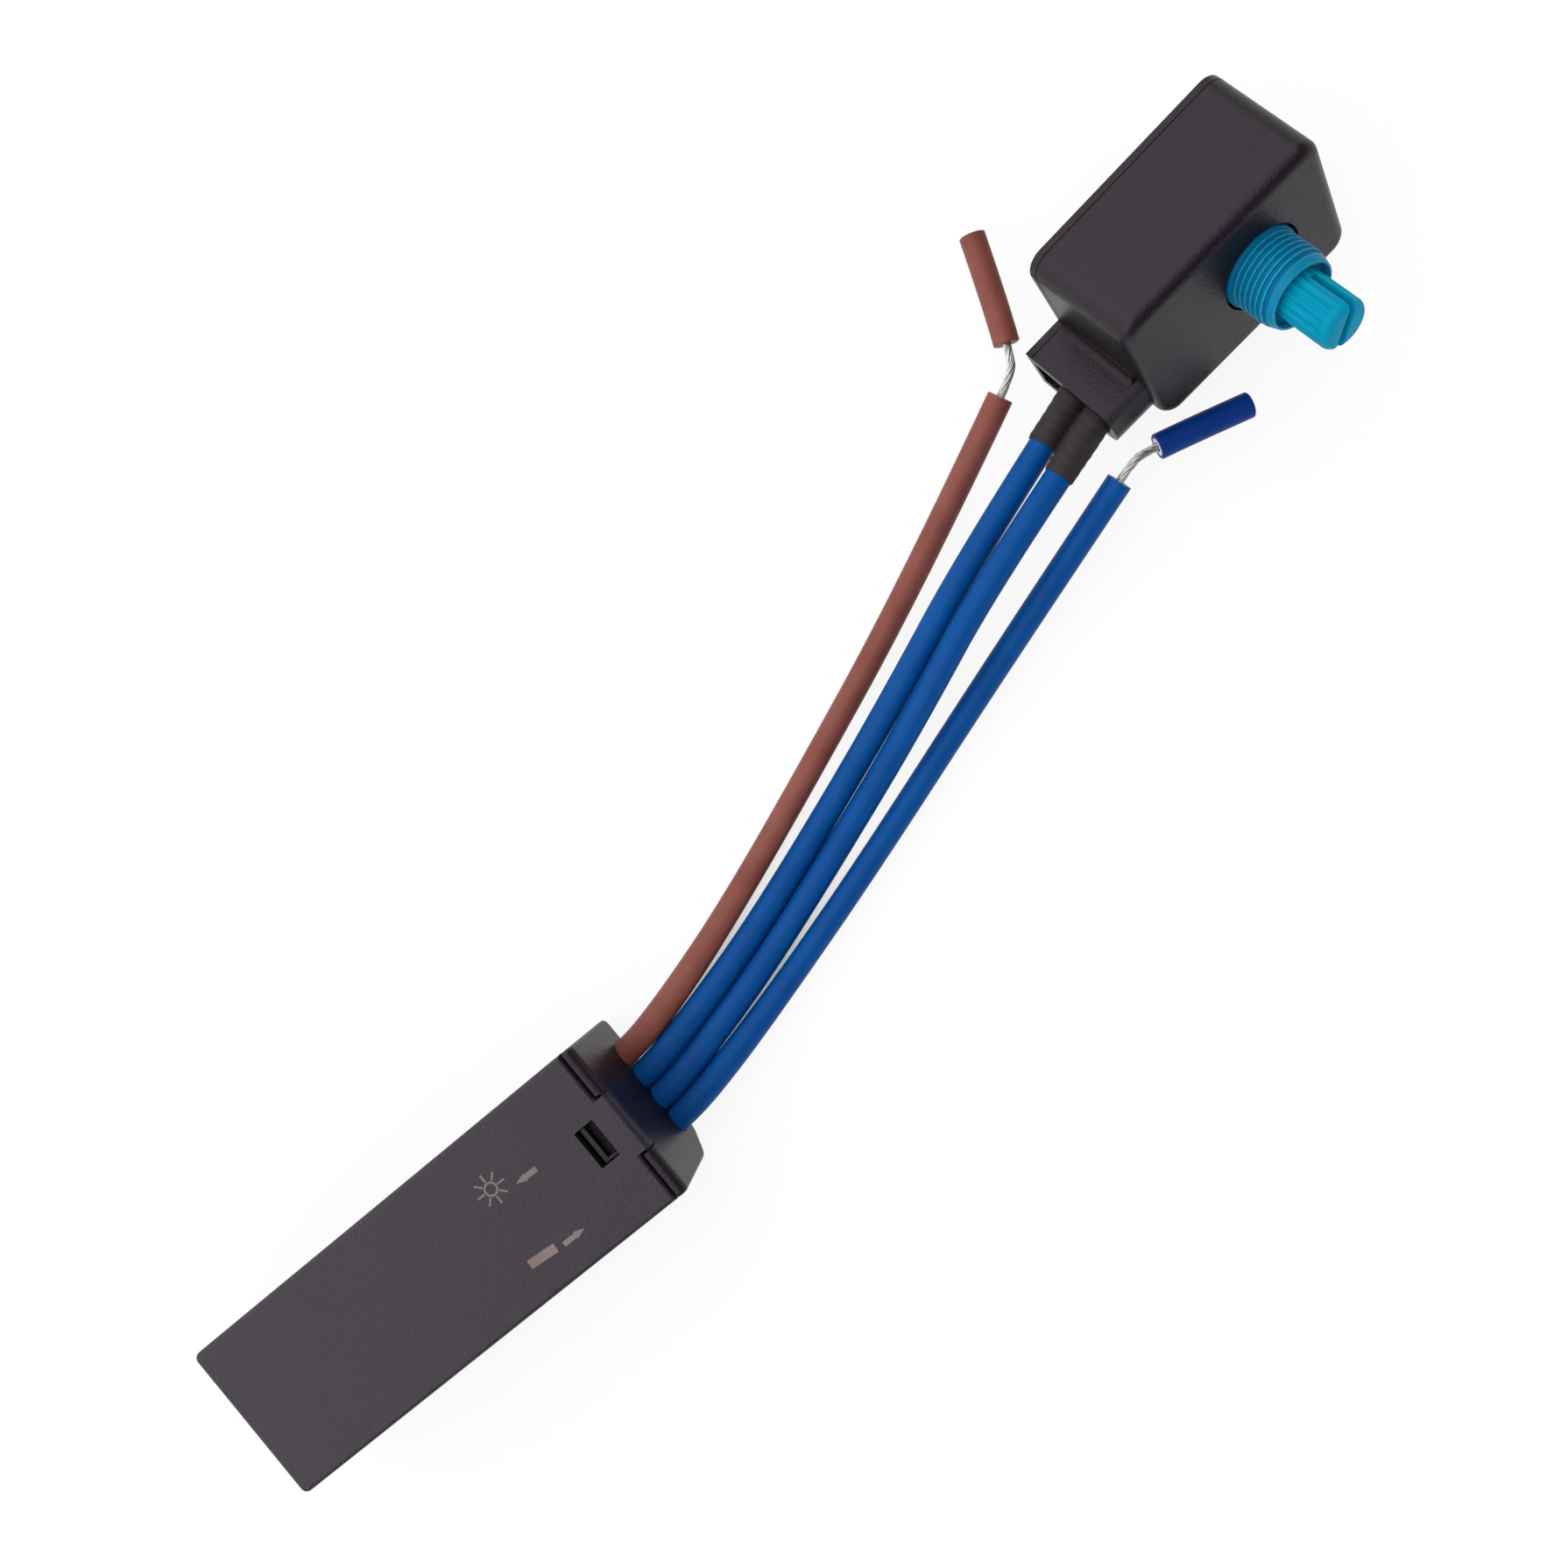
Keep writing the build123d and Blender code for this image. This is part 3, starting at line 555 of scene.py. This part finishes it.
SLEEVE_RADIUS = 1.9
SLEEVE_BORE = 1.66
SLEEVE_INSIDE = 6.0
SLEEVE_RINGS, SLEEVE_FOLDS, SLEEVE_ROOM = 0.022, 0.02, 0.03
SLEEVE_LIP, SLEEVE_LIP_ROWS = 0.1, 3
SLEEVE_SIDES, SLEEVE_ROWS = 48, 70
for name, node, reach in (("link_wire_1", "link_sleeve_1", 6.4), ("link_wire_2", "link_sleeve_2", 7.8)):
    line = lines[name]
    mouth = line.length - LINK_INSIDE * MM
    start, end = mouth - reach * MM, mouth + SLEEVE_INSIDE * MM
    points = []
    for i in range(SLEEVE_ROWS):
        along = start + (end - start) * i / (SLEEVE_ROWS - 1)
        lip = min(1.0, i / SLEEVE_LIP_ROWS)

        def skin(turn, along=along, lip=lip):
            rings = SLEEVE_RINGS * math.sin(along / MM * 5.1 + 1.5 * math.sin(2 * turn))
            folds = SLEEVE_FOLDS * math.sin(3 * turn + along / MM)
            return (SLEEVE_RADIUS - SLEEVE_LIP * (1 - lip) ** 2 - SLEEVE_ROOM + (rings + folds) * lip) * MM
        points += line.ring(along, skin, SLEEVE_SIDES)
    for along in (end, start):
        points += line.ring(along, SLEEVE_BORE * MM, SLEEVE_SIDES)
    sleeve = mesh_object("sleeve_" + node[-1], points, ring_faces(SLEEVE_ROWS + 2, SLEEVE_SIDES, True), sleeve_skin)
    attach(sleeve, MODULE)
    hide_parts(node)


# Stripped conductors, and the cut slugs of insulation left on them

STRANDS = 10
STRAND_RADIUS = 0.12
STRAND_ORBIT = 0.375
STRAND_LAY = 7.0
STRAND_SIDES, STRAND_ROWS = 8, 90
SLUG_RADIUS = 1.55
SLUG_BORE = 0.6
SLUG_OVERHANG = 1.0
OUT_OF_LEAD, INTO_SLUG = 2.4, 1.5


def lead_way(name):
    near, far = (Vector(p) for p in ROUTES[name][-2:])
    return (far - near).normalized()


def conductor_route(lead, near, far):
    """Out of the lead's cut end, across, and into the slug."""
    end = Vector(ROUTES[lead][-1])
    near, far = Vector(near), Vector(far)
    way = (far - near).normalized()
    return [end, end + lead_way(lead) * OUT_OF_LEAD, near - way * INTO_SLUG, far - way * SLUG_OVERHANG]


def twisted(name, line):
    """Bare strands twisted round a core, slightly uneven."""
    points, faces = [], []
    for k in range(STRANDS + 1):
        base = len(points)
        for i in range(STRAND_ROWS):
            along = line.length * i / (STRAND_ROWS - 1)
            centre, _, a, b = line.at(along)
            turn = 2 * math.pi * (along / MM / STRAND_LAY + k / STRANDS) + 0.12 * math.sin(3.0 * k + along / MM)
            out = a * math.cos(turn) + b * math.sin(turn)
            core = k == STRANDS
            middle = centre if core else centre + out * (STRAND_ORBIT + 0.012 * math.sin(5 * k)) * MM
            radius = (STRAND_ORBIT - 0.08 if core else STRAND_RADIUS) * MM
            for j in range(STRAND_SIDES):
                angle = 2 * math.pi * j / STRAND_SIDES
                points.append(middle + (a * math.cos(angle) + b * math.sin(angle)) * radius)
        faces += [tuple(base + p for p in face) for face in ring_faces(STRAND_ROWS, STRAND_SIDES)]
        faces.append(tuple(base + j for j in reversed(range(STRAND_SIDES))))
        faces.append(tuple(base + (STRAND_ROWS - 1) * STRAND_SIDES + j for j in range(STRAND_SIDES)))
    return mesh_object(name, points, faces, strand_metal, angle=math.radians(60))


def slug_on(name, line, start, end, skin, core):
    """A short tube of insulation with softened cut ends; its pale core shows at the end that was cut first."""
    sides, bevel, pale = 56, 0.1, 1.08
    outline = [(start, SLUG_BORE), (start, pale), (start, SLUG_RADIUS - bevel), (start + bevel, SLUG_RADIUS)]
    steps = 14
    for i in range(1, steps):
        outline.append((start + bevel + (end - start - 2 * bevel) * i / steps, SLUG_RADIUS))
    outline += [(end - bevel, SLUG_RADIUS), (end, SLUG_RADIUS - bevel), (end, SLUG_BORE)]
    points = []
    for along, radius in outline:
        points += line.ring(along * MM, radius * MM, sides)
    faces = ring_faces(len(outline), sides, True)
    material = [1 if i < sides else 0 for i in range(len(faces))]
    return mesh_object(name, points, faces, skin, core, face_materials=material)


SLUGS = {
    "brown": ("brown_lead", (123.75, 41.4, 7.1), (128.41, 53.7, 7.1), brown_insulation, brown_insulation),
    "blue": ("blue_lead", (129.0, 21.1, 7.9), (140.15, 17.95, 6.0), blue_slug_skin, pale_core),
}
for colour, (lead, near, far, skin, core) in SLUGS.items():
    guide = route_curve("guide_" + colour, conductor_route(lead, near, far))
    line = line_of(guide)
    bpy.data.objects.remove(guide)
    strands = twisted("strands_" + colour, line)
    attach(strands, MODULE)
    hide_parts(colour + "_conductor")
    slug_length = (Vector(far) - Vector(near)).length
    slug_end = line.length / MM + SLUG_OVERHANG
    slug = slug_on("slug_" + colour, line, slug_end - slug_length, slug_end, skin, core)
    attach(slug, MODULE)
    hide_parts(colour + "_slug")

for name, wire in wires.items():
    link = name.startswith("link")


# Seam between the pot's back cover and its housing: a thin dark ribbon, painted shadow in the gap

SEAM_V = 1.0
SEAM_HALF = 0.07
SEAM_PROUD, SEAM_SUNK = 0.012, -0.06
# The neck's underside starts part of the way round the last corner
UNDERSIDE_TURN, UNDERSIDE_U = 317, 13.4


def seam_path():
    """Round the cover from the neck's mouth and back to it, as places (u, w) with the way out of the wall."""
    path = [(NECK_END, NECK_HEIGHT, 0, 1), (POT_END, NECK_HEIGHT, 0, 1), (POT_END, NECK_HEIGHT, 1, 0)]
    near, far = POT_END - POT_CORNER, POT_FAR + POT_CORNER
    top, bottom = POT_HEIGHT - POT_CORNER, POT_CORNER - POT_DROP
    corners = [
        (near, top, 0, 90), (far, top, 90, 180), (far, bottom, 180, 270), (near, bottom, 270, UNDERSIDE_TURN),
    ]
    for u, w, first, last in corners:
        for i in range(9):
            turn = math.radians(first + (last - first) * i / 8)
            out_u, out_w = math.cos(turn), math.sin(turn)
            path.append((u + POT_CORNER * out_u, w + POT_CORNER * out_w, out_u, out_w))
    return path + [(UNDERSIDE_U, 0.0, 0, -1), (NECK_END, 0.0, 0, -1)]


points = []
for u, w, out_u, out_w in seam_path():
    for v, out in (
        (-SEAM_HALF, SEAM_PROUD), (SEAM_HALF, SEAM_PROUD), (SEAM_HALF, SEAM_SUNK), (-SEAM_HALF, SEAM_SUNK)
    ):
        points.append((to_pot @ Vector((u + out_u * out, SEAM_V + v, w + out_w * out))) * MM)
faces = ring_faces(len(points) // 4, 4)
faces += [(3, 2, 1, 0), tuple(len(points) - 4 + i for i in range(4))]
seam = mesh_object("cover_seam", points, faces, seam_shadow)
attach(seam, MODULE)


# Threaded bushing

BUSHING_SIDES = 168
PITCH = 0.79
CREST_HALF, FLANK = 0.07, 0.17
FIRST_CREST = 16.45
THREAD_START, THREAD_END = 16.15, 21.2
RUN_IN, RUN_OUT = 0.15, 0.25
CREST = 4.65
DEPTH = 0.24
TAPER_START, BARREL_END = 20.3, 22.05
RIM = 4.12
RECESS, RECESS_FLOOR = 3.85, 21.15
FLANGE, FLANGE_BACK, FLANGE_FRONT = 7.2, 12.9, 14.3
COLLAR, COLLAR_FRONT = 4.85, 16.08
BORE = 3.06


def crest_at(v):
    """The crest radius, drawn in over the last turns as a lead for the nut."""
    share = min(max((v - TAPER_START) / (BARREL_END - TAPER_START), 0.0), 1.0)
    return CREST + (RIM - CREST) * share


def eased(share):
    share = min(max(share, 0.0), 1.0)
    return share * share * (3 - 2 * share)


def from_crest(v, turn):
    """How far a place on the right-hand thread is from the nearest crest, along the shaft."""
    phase = ((v - FIRST_CREST) / PITCH - turn / (2 * math.pi)) % 1.0
    return min(phase, 1 - phase) * PITCH


def thread_radius(v, turn):
    """Narrow crests and wide rounded roots, run out at both ends."""
    groove = eased((from_crest(v, turn) - CREST_HALF) / FLANK)
    full = eased((v - THREAD_START) / RUN_IN) * eased((THREAD_END - v) / RUN_OUT)
    return crest_at(v) - DEPTH * groove * full


def bushing():
    rows = [
        (FLANGE_BACK, BORE), (FLANGE_BACK, FLANGE), (FLANGE_FRONT, FLANGE), (FLANGE_FRONT, COLLAR),
        (COLLAR_FRONT - 0.1, COLLAR), (COLLAR_FRONT, COLLAR - 0.1), (COLLAR_FRONT, CREST),
    ]
    steps = 124
    for i in range(steps + 1):
        v = THREAD_START + (THREAD_END - THREAD_START) * i / steps
        rows.append((v, None))
    for i in range(1, 5):
        v = THREAD_END + (BARREL_END - 0.08 - THREAD_END) * i / 4
        rows.append((v, crest_at(v)))
    rows += [(BARREL_END, RIM - 0.05), (BARREL_END, RECESS + 0.04), (BARREL_END - 0.06, RECESS),
             (RECESS_FLOOR, RECESS), (RECESS_FLOOR, BORE)]
    points = []
    for v, radius in rows:
        for j in range(BUSHING_SIDES):
            turn = 2 * math.pi * j / BUSHING_SIDES
            r = thread_radius(v, turn) if radius is None else radius
            place = Vector((SHAFT_U + r * math.sin(turn), v, SHAFT_W + r * math.cos(turn)))
            points.append((to_pot @ place) * MM)
    faces = ring_faces(len(rows), BUSHING_SIDES, True)
    # Painted highlight: the crests and rim are palest, and the plain band before the rim is a little paler than the
    # roots
    painted_highlight_index = []
    for i in range(len(faces)):
        v = rows[i // BUSHING_SIDES][0]
        turn = 2 * math.pi * (i % BUSHING_SIDES) / BUSHING_SIDES
        crest = THREAD_START < v < THREAD_END and from_crest(v, turn) < CREST_HALF + 0.03
        rim = BARREL_END - 0.1 < v
        painted_highlight_index.append(1 if crest or rim else 2 if THREAD_END <= v else 0)
    return mesh_object(
        "bushing", points, faces, teal_plastic, teal_crest_highlight, teal_band_highlight, angle=math.radians(48), face_materials=painted_highlight_index
    )


barrel = bushing()
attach(barrel, MODULE)
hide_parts("threaded_bushing")


# Control shaft: fluted, with rounded tips either side of a wide slot

SHAFT_RADIUS = 3.0
TAIL_RADIUS, TAIL_END = 2.0, 5.1
SHOULDER_RADIUS, SHOULDER_BACK, SHOULDER_FRONT = 3.9, 11.8, 12.75
SHAFT_TIP = 28.5
TIP_ROUND = 0.9
FLUTES = 18
FLUTE_DEPTH = 0.24
FLUTE_START, FLUTE_END = 21.25, 27.35
FLUTE_RISE, FLUTE_FADE = 0.1, 0.5
SLOT_FLOOR = 22.5
SLOT_HALF = 0.5
SLOT_TURN = math.radians(144)
SLOT_BREAK, SLOT_FLARE = 0.12, 0.06


def flute_radius(v, turn):
    """Soft flutes that fade out before the tip, and the tip's rounding."""
    share = eased((v - FLUTE_START) / FLUTE_RISE) * eased((FLUTE_END - v) / FLUTE_FADE)
    radius = SHAFT_RADIUS - FLUTE_DEPTH * share * (0.5 + 0.5 * math.cos(FLUTES * turn))
    past = max(v - (SHAFT_TIP - TIP_ROUND), 0.0)
    return radius - TIP_ROUND + math.sqrt(TIP_ROUND ** 2 - past ** 2)


def shaft_place(v, turn, radius):
    return (to_pot @ Vector((SHAFT_U + radius * math.sin(turn), v, SHAFT_W + radius * math.cos(turn)))) * MM


def shaft_root(sides):
    """The round part: tail, shoulder, and the stem as far as the floor of the slot."""
    rows = [
        (TAIL_END, TAIL_RADIUS), (SHOULDER_BACK, TAIL_RADIUS), (SHOULDER_BACK, SHOULDER_RADIUS),
        (SHOULDER_FRONT, SHOULDER_RADIUS), (SHOULDER_FRONT, SHAFT_RADIUS), (FLUTE_START, SHAFT_RADIUS),
    ]
    for i in range(1, 9):
        rows.append((FLUTE_START + (SLOT_FLOOR - FLUTE_START) * i / 8, None))
    points = []
    for v, radius in rows:
        for j in range(sides):
            turn = 2 * math.pi * j / sides
            points.append(shaft_place(v, turn, flute_radius(v, turn) if radius is None else radius))
    faces = ring_faces(len(rows), sides)
    faces.append(tuple(reversed(range(sides))))
    faces.append(tuple((len(rows) - 1) * sides + j for j in range(sides)))
    return points, faces


def shaft_half(first_turn, arc_steps):
    """One side of the slotted stem: an arc of flutes closed by the flat side of the slot."""
    heights = [SLOT_FLOOR - 0.2]
    heights += [SLOT_FLOOR + (FLUTE_END - SLOT_FLOOR) * i / 24 for i in range(25)]
    heights += [SHAFT_TIP - TIP_ROUND * (1 - math.sin(math.pi / 2 * i / 8)) for i in range(9)]
    points = []
    for v in heights:
        flat = SLOT_HALF + (SLOT_FLARE if v > SHAFT_TIP - 0.01 else 0.0)
        outline = []
        for i in range(arc_steps + 1):
            edge = math.asin((flat + SLOT_BREAK) / SHAFT_RADIUS)
            turn = edge + (math.pi - 2 * edge) * i / arc_steps
            radius = flute_radius(v, first_turn + turn)
            outline.append((radius * math.cos(turn), radius * math.sin(turn)))
        reach = outline[-1][0] + SLOT_BREAK
        outline += [(reach * (1 - i / 3), flat) for i in range(7)]
        for x, y in outline:
            turn = first_turn + math.atan2(y, x)
            points.append(shaft_place(v, turn, math.hypot(x, y)))
    sides = arc_steps + 8
    faces = ring_faces(len(heights), sides)
    faces.append(tuple(reversed(range(sides))))
    faces.append(tuple((len(heights) - 1) * sides + j for j in range(sides)))
    return points, faces


points, faces = shaft_root(216)
for half in range(2):
    more_points, more_faces = shaft_half(SLOT_TURN + math.pi * half, 112)
    faces += [tuple(len(points) + i for i in face) for face in more_faces]
    points += more_points
stem = mesh_object("shaft_stem", points, faces, cyan_plastic, angle=math.radians(40))
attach(stem, SHAFT)
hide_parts("control_shaft")


# Printed setting marks on the lid: a lamp symbol, two arrows and a bar

LID_TOP = 17.0
PRINT_PROUD = 0.012
PRINT_SUNK = 0.02


def arrow(tail, tip, shaft, head, head_length):
    tail, tip = Vector(tail), Vector(tip)
    way = (tip - tail).normalized()
    side = Vector((-way.y, way.x))
    neck = tip - way * head_length
    return [
        tail + side * shaft / 2, tail - side * shaft / 2, neck - side * shaft / 2, neck - side * head / 2,
        tip, neck + side * head / 2, neck + side * shaft / 2,
    ]


def bar(start, end, width):
    start, end = Vector(start), Vector(end)
    way = (end - start).normalized()
    side = Vector((-way.y, way.x)) * width / 2
    return [start + side, start - side, end - side, end + side]


def arc_ring(centre, inner, outer, first, last, steps=20):
    """A band of a circle, as one outline."""
    outside, inside = [], []
    for i in range(steps + 1):
        turn = first + (last - first) * i / steps
        way = Vector((math.cos(turn), math.sin(turn)))
        outside.append(Vector(centre) + way * outer)
        inside.append(Vector(centre) + way * inner)
    return outside + inside[::-1]


LAMP = (12.82, 3.83)
LAMP_INNER, LAMP_OUTER = 0.67, 0.95
RAYS, RAY_FROM, RAY_TO, RAY_WIDTH = 8, 1.05, 2.15, 0.26
outlines = [
    arc_ring(LAMP, LAMP_INNER, LAMP_OUTER, 0.0, math.pi),
    arc_ring(LAMP, LAMP_INNER, LAMP_OUTER, math.pi, 2 * math.pi),
    arrow((18.92, 2.31), (15.7, 2.41), 0.72, 1.05, 1.5),
    bar((10.48, -6.19), (14.49, -6.5), 1.2),
    arrow((15.52, -6.83), (18.87, -6.83), 0.65, 1.0, 1.5),
]
for i in range(RAYS):
    turn = 2 * math.pi * i / RAYS
    ray = Vector((math.cos(turn), math.sin(turn)))
    outlines.append(bar(Vector(LAMP) + ray * RAY_FROM, Vector(LAMP) + ray * RAY_TO, RAY_WIDTH))

points, faces = [], []
for outline in outlines:
    base, count = len(points), len(outline)
    area = sum(a.x * b.y - b.x * a.y for a, b in zip(outline, outline[1:] + outline[:1]))
    if area < 0:
        outline = outline[::-1]
    points += [Vector((p.x, p.y, LID_TOP + PRINT_PROUD)) * MM for p in outline]
    points += [Vector((p.x, p.y, LID_TOP - PRINT_SUNK)) * MM for p in outline]
    faces.append(tuple(base + i for i in range(count)))
    faces.append(tuple(base + count + i for i in reversed(range(count))))
    for i in range(count):
        j = (i + 1) % count
        faces.append((base + i, base + count + i, base + count + j, base + j))
marks = mesh_object("lid_marks", points, faces, print_grey)
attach(marks, MODULE)


# Floor, light and camera

FLOOR_DROP = -0.0003
FLOOR_INNER, FLOOR_REACH = 1.0, 2.0
COVE = 0.25
BACKDROP_TOP = 0.56
FLOOR_SIDES = 96
floor_finish = Finish("floor_white", specular=0.1)
floor_finish.colour(floor_finish.ramp(floor_finish.noise(400.0, detail=1.0), (0.3, 0.95), (0.7, 0.97)))
floor_finish.roughness(floor_finish.noise(200.0), 0.85, 0.95)
floor_finish.white_backdrop(0.88, gap_mm=3.5, closed=0.12, opened=0.22)

# The floor turns up into a low backdrop all round
profile = [(FLOOR_INNER, 0.0)]
for i in range(9):
    turn = math.pi / 2 * i / 8
    profile.append((FLOOR_REACH - COVE + COVE * math.sin(turn), COVE - COVE * math.cos(turn)))
profile.append((FLOOR_REACH, BACKDROP_TOP))
points = []
for reach, height in profile:
    for j in range(FLOOR_SIDES):
        turn = 2 * math.pi * j / FLOOR_SIDES
        points.append((reach * math.cos(turn), reach * math.sin(turn), FLOOR_DROP + height))
faces = [tuple(range(FLOOR_SIDES))]
faces += [face[::-1] for face in ring_faces(len(profile), FLOOR_SIDES)]
floor = mesh_object("floor", points, faces, floor_finish.material)

# One broad bright side of the studio, and the rest of it dim
BRIGHT_SIDE = (-0.6, 0.6, 0.5)
DIM = 0.05
DIM_UP_TO, BRIGHT_FROM = 0.34, 0.6
SKY_STRENGTH = 2.0
KEY_SOURCE = (0.1, -0.35, 0.93)
KEY_STRENGTH, KEY_ANGLE = 0.7, 100
world = bpy.data.worlds.new("studio")
bpy.context.scene.world = world
world.use_nodes = True
sky = world.node_tree
glow = sky.nodes["Background"]
direction = sky.nodes.new("ShaderNodeTexCoord").outputs["Generated"]
facing = sky.nodes.new("ShaderNodeVectorMath")
facing.operation = "DOT_PRODUCT"
sky.links.new(direction, facing.inputs[0])
facing.inputs[1].default_value = Vector(BRIGHT_SIDE).normalized()
dome = sky.nodes.new("ShaderNodeValToRGB")
sky.links.new(facing.outputs["Value"], dome.inputs["Fac"])
dome.color_ramp.elements[0].position = DIM_UP_TO
dome.color_ramp.elements[0].color = (DIM, DIM, DIM, 1)
dome.color_ramp.elements[1].position = BRIGHT_FROM
dome.color_ramp.elements[1].color = (1.0, 1.0, 1.0, 1)
sky.links.new(dome.outputs["Color"], glow.inputs["Color"])
glow.inputs["Strength"].default_value = SKY_STRENGTH

light = bpy.data.lights.new("key_light", "SUN")
light.energy = KEY_STRENGTH
light.angle = math.radians(KEY_ANGLE)
key = add_object("key_light", light)
key.rotation_euler = Vector(KEY_SOURCE).to_track_quat("Z", "Y").to_euler()
key.visible_glossy = False

CAMERA_PLACE = (100.95, 15.21, 206.2)
CAMERA_RIGHT = (0.7583, -0.6391, -0.1285)
CAMERA_UP = (0.6338, 0.7689, -0.0839)
SENSOR = 36.0
FOCAL_PIXELS, IMAGE_PIXELS = 1900.0, 1790.0
right = Vector(CAMERA_RIGHT).normalized()
up = Vector(CAMERA_UP)
up = (up - right * up.dot(right)).normalized()
back = right.cross(up)
camera = bpy.data.cameras.new("camera")
camera.sensor_width = SENSOR
camera.lens = SENSOR * FOCAL_PIXELS / IMAGE_PIXELS
camera.clip_start = 0.005
view = add_object("camera", camera)
turned = Matrix((right, up, back)).transposed().to_4x4()
view.matrix_world = Matrix.Translation(Vector(CAMERA_PLACE) * MM) @ turned
bpy.context.scene.camera = view
bpy.context.scene.view_settings.view_transform = "Standard"
